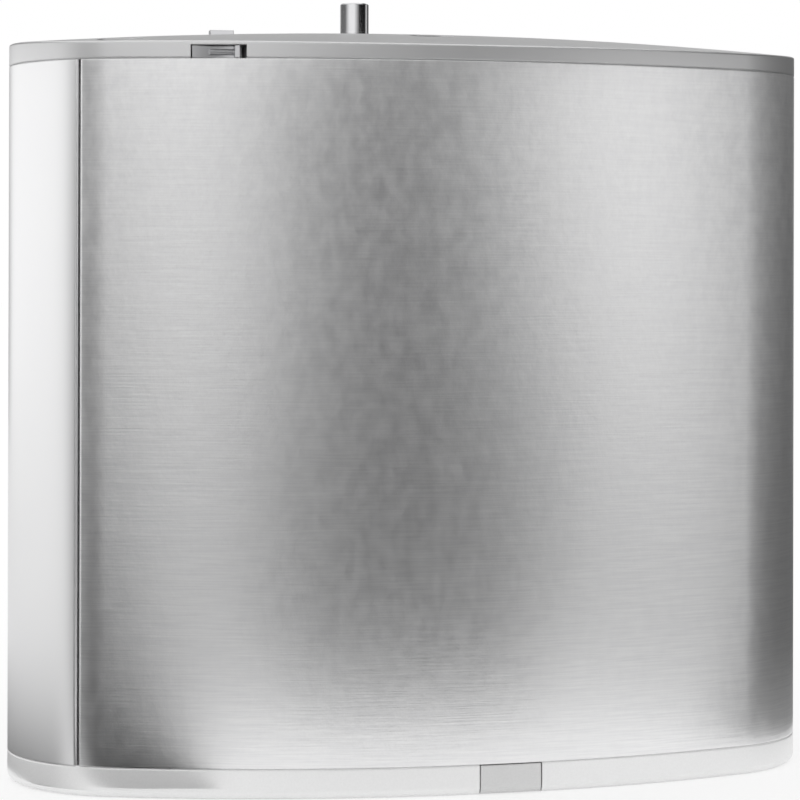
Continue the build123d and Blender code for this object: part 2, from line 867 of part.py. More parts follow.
# Lower bush: flanged plain bearing in the tray floor
with BuildPart() as lower_bush:
    with BuildSketch(Plane.XY.offset(tray_base)):
        with Locations((shaft_x, 0)):
            Circle(bush_radius)
    extrude(amount=gearbox_floor)
    with BuildSketch(Plane.XY.offset(tray_floor_top)):
        with Locations((shaft_x, 0)):
            Circle(bush_radius + bush_flange_reach)
    extrude(amount=bush_flange_height)
    with BuildSketch(Plane.XY.offset(tray_base)):
        with Locations((shaft_x, 0)):
            Circle(journal_radius + running_clearance)
    extrude(amount=gearbox_floor + bush_flange_height, mode=Mode.SUBTRACT)
lower_bush.part.label = "lower_bush"
export_step(lower_bush.part, "parts/lower_bush.step")

# Shaft clip: open ring in the core's groove, over the output gear
with BuildPart() as shaft_clip:
    with BuildSketch(Plane.XY.offset(clip_base)):
        with Locations((shaft_x, 0)):
            Circle(core_radius + clip_reach)
            Circle(core_radius - clip_groove_depth, mode=Mode.SUBTRACT)
            Rectangle(clip_mouth, 2 * hub_radius, align=(Align.CENTER, Align.MIN), mode=Mode.SUBTRACT)
    extrude(amount=clip_thickness)
shaft_clip.part.label = "shaft_clip"
export_step(shaft_clip.part, "parts/shaft_clip.step")

# Output gear: large wheel on the shaft's core
with BuildPart() as output_gear:
    with BuildSketch(Plane((shaft_x, 0, upper_level))):
        add(gear_outline(wheel_teeth, 0, 2))
        Circle(core_radius, mode=Mode.SUBTRACT)
    extrude(amount=wheel_face)
    with BuildSketch(Plane((shaft_x, 0, upper_level))):
        Circle(hub_radius)
        Circle(core_radius, mode=Mode.SUBTRACT)
    extrude(amount=pinion_face)
    web_cut = (wheel_face - web_thickness) / 2
    for level in (upper_level, upper_level + wheel_face - web_cut):
        with BuildSketch(Plane((shaft_x, 0, level))):
            add(gear_web())
        extrude(amount=web_cut, mode=Mode.SUBTRACT)
    with BuildSketch(Plane((shaft_x, 0, upper_level))):
        add(wheel_holes())
    extrude(amount=wheel_face, mode=Mode.SUBTRACT)
output_gear.part.label = "output_gear"
export_step(output_gear.part, "parts/output_gear.step")

# Idler gear: large wheel and small pinion in one piece, turning on a fixed pin
with BuildPart() as idler_gear:
    with BuildSketch(Plane((idler_x, 0, lower_level))):
        add(gear_outline(wheel_teeth, 0, 2))
    extrude(amount=wheel_face)
    for level in (lower_level, lower_level + wheel_face - web_cut):
        with BuildSketch(Plane((idler_x, 0, level))):
            add(gear_web())
        extrude(amount=web_cut, mode=Mode.SUBTRACT)
    with BuildSketch(Plane((idler_x, 0, lower_level))):
        add(wheel_holes())
    extrude(amount=wheel_face, mode=Mode.SUBTRACT)
    with BuildSketch(Plane((idler_x, 0, lower_level + wheel_face))):
        add(gear_outline(pinion_teeth, pinion_phase, 4))
    extrude(amount=pinion_top - lower_level - wheel_face)
    with BuildSketch(Plane((idler_x, 0, lower_level))):
        Circle(pin_radius + running_clearance)
    extrude(amount=pinion_top - lower_level, mode=Mode.SUBTRACT)
idler_gear.part.label = "idler_gear"
export_step(idler_gear.part, "parts/idler_gear.step")

# Idler pin: held at both ends, in the tray floor and the cover
with BuildPart() as idler_pin:
    with BuildSketch(Plane((idler_x, 0, tray_base))):
        Circle(pin_radius)
    extrude(amount=gearbox_top - tray_base)
idler_pin.part.label = "idler_pin"
export_step(idler_pin.part, "parts/idler_pin.step")

# Motor pinion: brass, pressed on the motor shaft
with BuildPart() as motor_pinion:
    with BuildSketch(Plane((motor_x, 0, lower_level))):
        add(gear_outline(pinion_teeth, pinion_phase, 4))
        Circle(motor_shaft_radius, mode=Mode.SUBTRACT)
    extrude(amount=pinion_face)
motor_pinion.part.label = "motor_pinion"
export_step(motor_pinion.part, "parts/motor_pinion.step")

# Motor shaft: from the encoder magnet up to the pinion
with BuildPart() as motor_shaft:
    with BuildSketch(Plane((motor_x, 0, encoder_magnet_base))):
        Circle(motor_shaft_radius)
    extrude(amount=lower_level + pinion_face - encoder_magnet_base)
motor_shaft.part.label = "motor_shaft"
export_step(motor_shaft.part, "parts/motor_shaft.step")

# Motor can: drawn steel cup, closed at the top
with BuildPart() as motor_can:
    with BuildSketch(Plane((motor_x, 0, can_base))):
        Circle(motor_radius)
    extrude(amount=tray_base - can_base)
    with BuildSketch(Plane((motor_x, 0, can_base))):
        Circle(magnet_radius)
    extrude(amount=tray_base - can_front - can_base, mode=Mode.SUBTRACT)
    with BuildSketch(Plane((motor_x, 0, tray_base - can_front))):
        Circle(motor_bush_radius)
        with Locations((0, -motor_screw_radius), (0, motor_screw_radius)):
            Circle(screw_radius)
    extrude(amount=can_front, mode=Mode.SUBTRACT)
motor_can.part.label = "motor_can"
export_step(motor_can.part, "parts/motor_can.step")

# Motor magnets: two arcs against the inside of the can
magnet_base = tray_base - can_front - gear_end_gap - magnet_length
with BuildPart() as motor_magnets:
    with BuildSketch(Plane((motor_x, 0, magnet_base))):
        Circle(magnet_radius)
        Circle(magnet_radius - magnet_thickness, mode=Mode.SUBTRACT)
        Rectangle(magnet_gap_width, 2 * motor_radius, mode=Mode.SUBTRACT)
    extrude(amount=magnet_length)
motor_magnets.part.label = "motor_magnets"
export_step(motor_magnets.part, "parts/motor_magnets.step")

# Armature: slotted stack on the motor shaft
armature_base = magnet_base + (magnet_length - armature_length) / 2
with BuildPart() as armature:
    with BuildSketch(Plane((motor_x, 0, armature_base))):
        Circle(armature_radius)
        with PolarLocations(armature_radius - armature_slot_depth / 2, armature_slots):
            Rectangle(armature_slot_depth + air_gap, armature_slot_width, mode=Mode.SUBTRACT)
        Circle(motor_shaft_radius, mode=Mode.SUBTRACT)
    extrude(amount=armature_length)
armature.part.label = "armature"
export_step(armature.part, "parts/armature.step")

# Commutator: copper sleeve under the armature
with BuildPart() as commutator:
    with BuildSketch(Plane((motor_x, 0, armature_base - commutator_length))):
        Circle(commutator_radius)
        Circle(motor_shaft_radius, mode=Mode.SUBTRACT)
    extrude(amount=commutator_length)
commutator.part.label = "commutator"
export_step(commutator.part, "parts/commutator.step")

# Motor bushes: one in the can's front, one in the end cap
with BuildPart() as motor_bushes:
    for level in (tray_base - can_front, motor_base):
        with BuildSketch(Plane((motor_x, 0, level))):
            Circle(motor_bush_radius)
            Circle(motor_shaft_radius + running_clearance, mode=Mode.SUBTRACT)
        extrude(amount=motor_bush_length)
motor_bushes.part.label = "motor_bushes"
export_step(motor_bushes.part, "parts/motor_bushes.step")

# Motor end cap: closes the can and carries the lower bush and the encoder board
with BuildPart() as motor_end_cap:
    with BuildSketch(Plane((motor_x, 0, motor_base))):
        Circle(motor_radius)
    extrude(amount=end_cap_thickness)
    with BuildSketch(Plane((motor_x, 0, can_base))):
        Circle(magnet_radius)
        Circle(end_cap_bore, mode=Mode.SUBTRACT)
    extrude(amount=end_cap_spigot)
    with BuildSketch(Plane((motor_x, 0, motor_base))):
        Circle(motor_bush_radius)
    extrude(amount=end_cap_thickness, mode=Mode.SUBTRACT)
    with BuildSketch(Plane((motor_x, 0, encoder_board_top))):
        with PolarLocations(encoder_post_place, 3):
            Circle(encoder_post_radius)
    extrude(amount=motor_base - encoder_board_top)
motor_end_cap.part.label = "motor_end_cap"
export_step(motor_end_cap.part, "parts/motor_end_cap.step")

# Motor brushes: two carbon blocks that lean on the commutator
with BuildPart() as motor_brushes:
    brush_length = end_cap_bore - brush_end_gap - commutator_radius - slide_gap
    brush_place = commutator_radius + slide_gap + brush_length / 2
    with BuildSketch(Plane((motor_x, 0, can_base + brush_lift))):
        with Locations((-brush_place, 0), (brush_place, 0)):
            Rectangle(brush_length, brush_width)
    extrude(amount=brush_width)
motor_brushes.part.label = "motor_brushes"
export_step(motor_brushes.part, "parts/motor_brushes.step")

# Encoder magnet: disc on the tail of the motor shaft
with BuildPart() as encoder_magnet:
    with BuildSketch(Plane((motor_x, 0, encoder_magnet_base))):
        Circle(encoder_magnet_radius)
        Circle(motor_shaft_radius, mode=Mode.SUBTRACT)
    extrude(amount=encoder_magnet_thickness)
encoder_magnet.part.label = "encoder_magnet"
export_step(encoder_magnet.part, "parts/encoder_magnet.step")

# Encoder board: round board under the motor, on the end cap's posts
with BuildPart() as encoder_board:
    with BuildSketch(Plane((motor_x, 0, encoder_board_top - encoder_board_thickness))):
        Circle(encoder_board_radius)
    extrude(amount=encoder_board_thickness)
encoder_board.part.label = "encoder_board"
export_step(encoder_board.part, "parts/encoder_board.step")

# Encoder sensor: chip under the magnet's edge
with BuildPart() as encoder_sensor:
    with BuildSketch(Plane((motor_x + sensor_offset, 0, encoder_board_top))):
        Rectangle(sensor_size, sensor_size)
    extrude(amount=sensor_height)
encoder_sensor.part.label = "encoder_sensor"
export_step(encoder_sensor.part, "parts/encoder_sensor.step")

# Control board: upright behind the middle, on the chassis posts
with BuildPart() as control_board:
    with BuildSketch(Plane.XZ.offset(-board_back_y)):
        with Locations(((board_left + board_right) / 2, (board_bottom + board_top) / 2)):
            RectangleRounded(board_right - board_left, board_top - board_bottom, board_corner)
        with Locations(*board_places):
            Circle(screw_hole, mode=Mode.SUBTRACT)
    extrude(amount=board_thickness)
control_board.part.label = "control_board"
export_step(control_board.part, "parts/control_board.step")

# Power module: potted supply block
with BuildPart() as power_module:
    with BuildSketch(Plane.XZ.offset(-board_front_y)):
        with Locations((module_x, module_z)):
            Rectangle(module_width, module_height)
    extrude(amount=module_depth)
    chamfer(power_module.faces().sort_by(Axis.Y)[0].edges(), module_bevel)
power_module.part.label = "power_module"
export_step(power_module.part, "parts/power_module.step")

# Storage capacitor: can with a rolled groove near the board
with BuildPart() as storage_capacitor:
    with BuildSketch(Plane.XZ.offset(-board_front_y)):
        with Locations((capacitor_x, capacitor_z)):
            Circle(capacitor_radius)
    extrude(amount=capacitor_length)
    fillet(storage_capacitor.faces().sort_by(Axis.Y)[0].edges(), capacitor_groove)
    with BuildSketch(Plane.XZ.offset(-board_front_y + 4 * capacitor_groove)):
        with Locations((capacitor_x, capacitor_z)):
            Circle(capacitor_radius)
            Circle(capacitor_radius - capacitor_groove, mode=Mode.SUBTRACT)
    extrude(amount=2 * capacitor_groove, mode=Mode.SUBTRACT)
storage_capacitor.part.label = "storage_capacitor"
export_step(storage_capacitor.part, "parts/storage_capacitor.step")

# Relay
with BuildPart() as relay:
    with BuildSketch(Plane.XZ.offset(-board_front_y)):
        with Locations((relay_x, relay_z)):
            Rectangle(relay_width, relay_height)
    extrude(amount=relay_depth)
    fillet(relay.faces().sort_by(Axis.Y)[0].edges(), relay_edge_radius)
relay.part.label = "relay"
export_step(relay.part, "parts/relay.step")

# Radio module: small board with its screening can
with BuildPart() as radio_module:
    with BuildSketch(Plane.XZ.offset(-board_front_y)):
        with Locations((radio_x, radio_z)):
            Rectangle(radio_width, radio_height)
    extrude(amount=radio_board)
    with BuildSketch(Plane.XZ.offset(-board_front_y + radio_board)):
        with Locations((radio_x, radio_z)):
            Rectangle(radio_width - 2 * radio_can_inset, radio_height - 2 * radio_can_inset)
    extrude(amount=radio_can_depth)
radio_module.part.label = "radio_module"
export_step(radio_module.part, "parts/radio_module.step")

# Motor plug: open shroud on the board where the motor's lead plugs in
with BuildPart() as motor_plug:
    with BuildSketch(Plane.XZ.offset(-board_front_y)):
        with Locations((plug_x, plug_z)):
            Rectangle(plug_width, plug_height)
    extrude(amount=plug_depth)
    with BuildSketch(Plane.XZ.offset(-board_front_y + plug_wall)):
        with Locations((plug_x, plug_z)):
            Rectangle(plug_width - 2 * plug_wall, plug_height - 2 * plug_wall)
    extrude(amount=plug_depth, mode=Mode.SUBTRACT)
motor_plug.part.label = "motor_plug"
export_step(motor_plug.part, "parts/motor_plug.step")

# Interface board: flat over the sockets, on two posts of the bottom cap
with BuildPart() as interface_board:
    with BuildSketch(Plane.XY.offset(interface_z)):
        with Locations(((interface_left + interface_right) / 2, (interface_front_y + interface_back_y) / 2)):
            RectangleRounded(
                interface_right - interface_left, interface_back_y - interface_front_y, board_corner
            )
        with Locations(*interface_posts):
            Circle(screw_hole, mode=Mode.SUBTRACT)
    extrude(amount=board_thickness)
interface_board.part.label = "interface_board"
export_step(interface_board.part, "parts/interface_board.step")

# Board header: joins the interface board to the control board
header_back_y = interface_back_y
header_reach = board_front_y - header_back_y
with BuildPart() as board_header:
    with BuildSketch(Plane.XY.offset(interface_top)):
        with Locations((header_x, header_back_y)):
            Rectangle(header_width, header_depth, align=(Align.CENTER, Align.MAX))
    extrude(amount=header_height)
    with BuildSketch(Plane.XZ.offset(-board_front_y)):
        with Locations((header_x, interface_top + header_height - header_depth / 2)):
            with GridLocations(header_pin_pitch, header_pin_pitch, header_pins, 1):
                Rectangle(header_pin, header_pin)
    extrude(amount=header_reach)
board_header.part.label = "board_header"
export_step(board_header.part, "parts/board_header.step")

# Power socket: round port with a centre pin, open at the bottom
with BuildPart() as power_socket:
    with BuildSketch(Plane((power_socket_x, socket_y, socket_recess))):
        Rectangle(power_socket_width, power_socket_depth)
    extrude(amount=interface_z - socket_recess)
    with BuildSketch(Plane((power_socket_x, socket_y, bottom_floor))):
        Rectangle(power_socket_width + 2 * socket_flange, power_socket_depth + 2 * socket_flange)
    extrude(amount=socket_flange)
    with BuildSketch(Plane((power_socket_x, socket_y, socket_recess))):
        Circle(power_bore / 2)
    extrude(amount=port_length, mode=Mode.SUBTRACT)
    with BuildSketch(Plane((power_socket_x, socket_y, socket_recess + port_shift))):
        Circle(power_pin / 2)
    extrude(amount=port_length - port_shift)
power_socket.part.label = "power_socket"
export_step(power_socket.part, "parts/power_socket.step")

# Control socket: rectangular port with a key notch, open at the bottom
with BuildPart() as control_socket:
    with BuildSketch(Plane((control_socket_x, socket_y, socket_recess))):
        Rectangle(control_socket_width, control_socket_depth)
    extrude(amount=interface_z - socket_recess)
    with BuildSketch(Plane((control_socket_x, socket_y, bottom_floor))):
        Rectangle(control_socket_width + 2 * socket_flange, control_socket_depth + 2 * socket_flange)
    extrude(amount=socket_flange)
    with BuildSketch(Plane((control_socket_x, socket_y + port_shift, socket_recess))):
        Rectangle(control_port_width, control_port_depth)
        with Locations((0, -control_port_depth / 2)):
            Rectangle(control_key_width, control_key_depth, align=(Align.CENTER, Align.MAX))
    extrude(amount=port_length, mode=Mode.SUBTRACT)
control_socket.part.label = "control_socket"
export_step(control_socket.part, "parts/control_socket.step")

# Setting button: face in the bottom rim, stem through the cap and a leg up to the switch
leg_back_y = leg_front_y + button_leg_thickness
leg_top = interface_z - board_thickness / 2
stem_base = bottom_floor + 2 * button_gap
stem_top = bottom_rim - button_gap
wing_base = bottom_rim + 2 * button_gap
with BuildPart() as setting_button:
    add(bottom_shell(button_setback))
    with BuildSketch(Plane.XY.offset(button_gap)):
        add(ring(button_setback, button_face))
        with Locations((button_x, -housing_depth / 2)):
            Rectangle(button_width - 2 * button_gap, 4 * button_face, mode=Mode.INTERSECT)
    extrude(amount=stem_top - button_gap, mode=Mode.INTERSECT)
    with BuildSketch(Plane.XY.offset(stem_base)):
        with Locations((button_x, leg_back_y)):
            Rectangle(
                button_stem_width,
                leg_back_y + wall_y(button_x, button_face / 2),
                align=(Align.CENTER, Align.MAX),
            )
    extrude(amount=stem_top - stem_base)
    with BuildSketch(Plane.XY.offset(stem_base)):
        with Locations((button_x, leg_front_y)):
            Rectangle(button_stem_width, button_leg_thickness, align=(Align.CENTER, Align.MIN))
    extrude(amount=leg_top - stem_base)
    with BuildSketch(Plane.XY.offset(wing_base)):
        with Locations((button_x, leg_front_y)):
            Rectangle(button_wing_width, button_leg_thickness, align=(Align.CENTER, Align.MIN))
    extrude(amount=button_wing_height)
setting_button.part.label = "setting_button"
export_step(setting_button.part, "parts/setting_button.step")

# Button switch: under the interface board, its plunger facing the button's leg
plunger_tip_y = leg_back_y + button_travel + switch_gap
switch_front_y = plunger_tip_y + plunger_length
with BuildPart() as button_switch:
    with BuildSketch(Plane.XY.offset(interface_z - switch_height)):
        with Locations((button_x, switch_front_y)):
            Rectangle(switch_width, switch_depth, align=(Align.CENTER, Align.MIN))
    extrude(amount=switch_height)
    with BuildSketch(Plane.XZ.offset(-switch_front_y)):
        with Locations((button_x, interface_z - switch_height / 2)):
            Circle(plunger_radius)
    extrude(amount=plunger_length)
button_switch.part.label = "button_switch"
export_step(button_switch.part, "parts/button_switch.step")

# Release latch: scooped face in the top rim, arm under the crown and a pawl that rises through it
arm_base = body_top + latch_arm_gap
arm_height = pocket_depth - 2 * latch_arm_gap
face_height = top_rim - latch_roof - 2 * latch_arm_gap
arm_start_y = latch_surface_y + latch_setback + (latch_scoop + latch_face) / 2
scoop_left = latch_x - latch_width / 2 + latch_gap
face_right = latch_x + latch_width / 2 - latch_side_gap
scoop_right = face_right - latch_rib
scoop_middle = (scoop_left + scoop_right) / 2
scoop_floor = latch_setback + latch_scoop
crown_at_pawl = crown_top - crown_end_drop * (pawl_x / (housing_width / 2)) ** 2
with BuildPart() as release_latch:
    with BuildSketch(Plane.XY.offset(arm_base)):
        add(ring(latch_setback, latch_setback + latch_face))
        with Locations(((scoop_left + face_right) / 2, latch_surface_y)):
            Rectangle(face_right - scoop_left, 4 * latch_face, mode=Mode.INTERSECT)
    extrude(amount=face_height)
    with BuildSketch(Plane.XY.offset(arm_base)):
        with BuildLine():
            ThreePointArc(
                (scoop_left, -wall_y(scoop_left, latch_setback)),
                (scoop_middle, -wall_y(scoop_middle, latch_setback + latch_scoop_share * latch_scoop)),
                (scoop_right, -wall_y(scoop_right, scoop_floor)),
            )
            Polyline(
                (scoop_right, -wall_y(scoop_right, scoop_floor)),
                (scoop_right, -housing_depth),
                (scoop_left, -housing_depth),
                (scoop_left, -wall_y(scoop_left, latch_setback)),
            )
        make_face()
    extrude(amount=face_height, mode=Mode.SUBTRACT)
    with BuildSketch(Plane.YZ.offset(scoop_right - latch_grip_length)):
        with Locations((-wall_y(scoop_right, scoop_floor), arm_base + face_height / 2)):
            Circle(latch_grip_radius)
    extrude(amount=latch_grip_length)
    with BuildSketch(Plane.XY.offset(arm_base)):
        with Locations((latch_arm_left, arm_start_y)):
            Rectangle(
                latch_arm_right - latch_arm_left,
                latch_tail_back_y - arm_start_y,
                align=(Align.MIN, Align.MIN),
            )
        with Locations((latch_arm_left, latch_tail_front_y)):
            Rectangle(
                pawl_x + pawl_width / 2 - latch_arm_left,
                latch_tail_back_y - latch_tail_front_y,
                align=(Align.MIN, Align.MIN),
            )
    extrude(amount=arm_height)
    with BuildSketch(Plane.XY.offset(arm_base)):
        with Locations((pawl_x, pawl_front_y)):
            Rectangle(pawl_width, pawl_length, align=(Align.CENTER, Align.MIN))
    extrude(amount=crown_at_pawl + pawl_rise - arm_base)
    pawl_lead = release_latch.faces().sort_by(Axis.Z)[-1].edges().sort_by(Axis.Y)[0]
    chamfer(pawl_lead, pawl_length / 3)
release_latch.part.label = "release_latch"
export_step(release_latch.part, "parts/release_latch.step")

# Latch guide: plate under the arm, with side rails and a stop for the spring
guide_top = body_top
with BuildPart() as latch_guide:
    with BuildSketch(Plane.XY.offset(guide_top - guide_thickness)):
        with Locations((guide_left, guide_front_y)):
            Rectangle(guide_right - guide_left, guide_back_y - guide_front_y, align=(Align.MIN, Align.MIN))
        with Locations(*guide_places):
            Circle(guide_screw_diameter / 2, mode=Mode.SUBTRACT)
    extrude(amount=guide_thickness)
    with BuildSketch(Plane.XY.offset(guide_top)):
        with Locations((latch_arm_left - latch_gap, guide_front_y)):
            Rectangle(guide_rail, -guide_front_y + latch_tail_front_y, align=(Align.MAX, Align.MIN))
        with Locations((latch_arm_right + latch_gap, guide_front_y)):
            Rectangle(
                guide_rail,
                -guide_front_y + latch_tail_front_y - latch_stop_gap,
                align=(Align.MIN, Align.MIN),
            )
        with Locations((latch_arm_left, guide_stop_y)):
            Rectangle(guide_right - latch_arm_left, guide_stop_thickness, align=(Align.MIN, Align.MIN))
    extrude(amount=pocket_depth)
latch_guide.part.label = "latch_guide"
export_step(latch_guide.part, "parts/latch_guide.step")

# Guide screws: two small screws from below
guide_screw = cap_screw(
    guide_thickness + pocket_depth,
    guide_screw_diameter / 2,
    guide_screw_head_radius,
    guide_screw_head_height,
)
with BuildPart() as guide_screws:
    add([guide_screw.moved(Location((x, y, guide_top - guide_thickness))) for x, y in guide_places])
guide_screws.part.label = "guide_screws"
export_step(guide_screws.part, "parts/guide_screws.step")

# Latch spring: bowed leaf between the latch's tail and the guide's stop
spring_left = latch_arm_left + spring_strip
spring_right = pawl_x + pawl_width / 2
spring_middle = (spring_left + spring_right) / 2
spring_tip_y = latch_tail_back_y + spring_touch
with BuildPart() as latch_spring:
    with BuildSketch(Plane.XY.offset(arm_base)):
        with BuildLine():
            ThreePointArc(
                (spring_left, guide_stop_y),
                (spring_middle, spring_tip_y),
                (spring_right, guide_stop_y),
            )
            Line((spring_right, guide_stop_y), (spring_right - spring_strip, guide_stop_y))
            ThreePointArc(
                (spring_right - spring_strip, guide_stop_y),
                (spring_middle, spring_tip_y + spring_strip),
                (spring_left + spring_strip, guide_stop_y),
            )
            Line((spring_left + spring_strip, guide_stop_y), (spring_left, guide_stop_y))
        make_face()
    extrude(amount=arm_height)
latch_spring.part.label = "latch_spring"
export_step(latch_spring.part, "parts/latch_spring.step")

# Bottom screws: from recesses in the bottom cap up into the chassis feet
with BuildPart() as bottom_screws:
    add(screw_group(foot_places, bottom_floor, foot_base + screw_bite - bottom_floor))
bottom_screws.part.label = "bottom_screws"
export_step(bottom_screws.part, "parts/bottom_screws.step")

# Drive screws: through the whole gearbox into the top cap's bosses
with BuildPart() as drive_screws:
    add(screw_group(ear_places, tray_base, body_top + pocket_depth / 2 - tray_base))
drive_screws.part.label = "drive_screws"
export_step(drive_screws.part, "parts/drive_screws.step")

# Shelf screws: through the chassis shelf into the tray floor
with BuildPart() as shelf_screws:
    add(screw_group(shelf_places, tray_base - shelf_thickness, shelf_thickness + gearbox_floor))
shelf_screws.part.label = "shelf_screws"
export_step(shelf_screws.part, "parts/shelf_screws.step")

# Motor screws: from inside the tray down into the can
with BuildPart() as motor_screws:
    add(screw_group(motor_screw_places, tray_floor_top, gearbox_floor + can_front, flipped=True))
motor_screws.part.label = "motor_screws"
export_step(motor_screws.part, "parts/motor_screws.step")

# Interface screws: down through the interface board into the bottom cap's posts
with BuildPart() as interface_screws:
    add(screw_group(interface_posts, interface_top, board_thickness + screw_bite, flipped=True))
interface_screws.part.label = "interface_screws"
export_step(interface_screws.part, "parts/interface_screws.step")

# Board screws: back through the control board into the chassis posts
board_screw = cap_screw(board_thickness + screw_bite, screw_radius, screw_head_radius, screw_head_height)
board_screw = board_screw.rotate(Axis.X, -90)
with BuildPart() as board_screws:
    add([board_screw.moved(Location((x, board_front_y, z))) for x, z in board_places])
board_screws.part.label = "board_screws"
export_step(board_screws.part, "parts/board_screws.step")
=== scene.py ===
import json
from math import cos, radians, sin, sqrt

import bmesh
import bpy
from mathutils import Matrix, Vector


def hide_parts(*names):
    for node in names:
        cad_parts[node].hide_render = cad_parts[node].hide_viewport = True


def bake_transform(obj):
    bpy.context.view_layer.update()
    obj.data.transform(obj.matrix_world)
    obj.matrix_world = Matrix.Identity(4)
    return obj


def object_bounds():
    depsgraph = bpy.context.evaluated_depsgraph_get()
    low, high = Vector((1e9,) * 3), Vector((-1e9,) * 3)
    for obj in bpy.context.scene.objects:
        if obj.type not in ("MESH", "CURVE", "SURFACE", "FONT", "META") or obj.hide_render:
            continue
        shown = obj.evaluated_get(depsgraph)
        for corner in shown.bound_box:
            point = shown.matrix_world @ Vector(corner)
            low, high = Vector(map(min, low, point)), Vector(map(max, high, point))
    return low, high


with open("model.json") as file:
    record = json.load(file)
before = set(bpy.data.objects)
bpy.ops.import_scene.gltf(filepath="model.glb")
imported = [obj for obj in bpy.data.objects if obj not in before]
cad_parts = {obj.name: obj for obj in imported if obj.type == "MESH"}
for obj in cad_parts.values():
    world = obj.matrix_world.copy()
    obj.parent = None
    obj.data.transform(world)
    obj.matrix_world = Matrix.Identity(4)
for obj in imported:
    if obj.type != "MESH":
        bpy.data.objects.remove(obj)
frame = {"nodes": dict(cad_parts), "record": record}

cad_low, cad_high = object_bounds()

# %% [markdown]
# # A curtain motor
# The object is a small drive unit that hangs from a curtain rail. Its body is an oval tube of
# two aluminium shells between two caps, a steel shaft stands up from the top, and everything
# else is inside. Nearly all that the eye gets from it is how metal mirrors a studio, so this
# lesson spends its time on finishes and on what the metal has to reflect.

# %% The model that the scene is built around
MM = 0.001

nodes = frame["nodes"]
width = cad_high.x - cad_low.x
depth = cad_high.y - cad_low.y
height = cad_high.z - cad_low.z
print("nodes", len(nodes), "size in mm", [round(s / MM, 1) for s in (width, depth, height)])

# %% [markdown]
# ## Colours and shader nodes
# A finish starts from a colour as a maker would write it, in sRGB hex. Shaders work in linear
# light, so one function converts it. Another adds a shader node, sets its options and fills its
# inputs with plain values or with other nodes, which keeps every material short.


# %% Helpers for every material
# each finish rounds its edges a little in the shading, so that they catch the light
BEVEL_SAMPLES = 4


def linear(hex_colour):
    """Turns an sRGB hex colour into linear RGBA."""
    channels = [int(hex_colour[i : i + 2], 16) / 255 for i in (1, 3, 5)]
    curve = [c / 12.92 if c <= 0.04045 else ((c + 0.055) / 1.055) ** 2.4 for c in channels]
    return (*curve, 1.0)


def add_node(tree, kind, inputs=None, **options):
    """Adds a shader node; inputs maps a name or number to a value, an output or a node."""
    made = tree.nodes.new(kind)
    for option, value in options.items():
        setattr(made, option, value)
    for key, value in (inputs or {}).items():
        if isinstance(value, bpy.types.Node):
            value = next(output for output in value.outputs if output.enabled)
        if isinstance(value, bpy.types.NodeSocket):
            tree.links.new(value, made.inputs[key])
        else:
            made.inputs[key].default_value = value
    return made


def new_material(name):
    """An empty material, and the node tree to fill."""
    material = bpy.data.materials.new(name)
    material.use_nodes = True
    material.node_tree.nodes.clear()
    return material, material.node_tree


# %% [markdown]
# ## Patterns
# Brushing, casting grain and moulding texture are all noise at different sizes. Each pattern's
# scale is worked out from its real size in millimetres, separately along each axis, because a
# brushed line is long one way and very thin the other.

# %% A pattern with a real size
def pattern(tree, size_mm, detail, roughness):
    """Noise whose blots are about size_mm = (x, y, z) long on the object, from its own axes."""
    place = add_node(tree, "ShaderNodeTexCoord").outputs["Object"]
    scale = Vector([1 / (s * MM) for s in size_mm])
    stretched = add_node(tree, "ShaderNodeVectorMath", {0: place, 1: scale}, operation="MULTIPLY")
    noise = {"Vector": stretched, "Scale": 1.0, "Detail": detail, "Roughness": roughness}
    return add_node(tree, "ShaderNodeTexNoise", noise)


# %% [markdown]
# ## The wall of the housing
# Seen from above, the wall is four arcs: two long ones for the front and back and a tight one at
# each end. A mesh draws an arc as short flats, and where a long arc meets a tight one their
# shading jumps a little. Polished metal shows even that as a line. The cure is to work out the
# direction of the wall from the arcs themselves and to shade with that.

# %% The arcs that the wall is bent on
END_RADIUS = 19 * MM
END_CENTRE = width / 2 - END_RADIUS
LONG_RADIUS = (END_CENTRE**2 + (depth / 2) ** 2 - END_RADIUS**2) / (depth - 2 * END_RADIUS)
LONG_CENTRE = LONG_RADIUS - depth / 2
ARC_JOINT = END_CENTRE * LONG_RADIUS / (LONG_RADIUS - END_RADIUS)
# a face is on the wall if its normal is within about 3.6 degrees of the arc's
NEARLY_SAME = 0.998
print("long arc", round(LONG_RADIUS / MM, 1), "mm, joint at", round(ARC_JOINT / MM, 1), "mm")


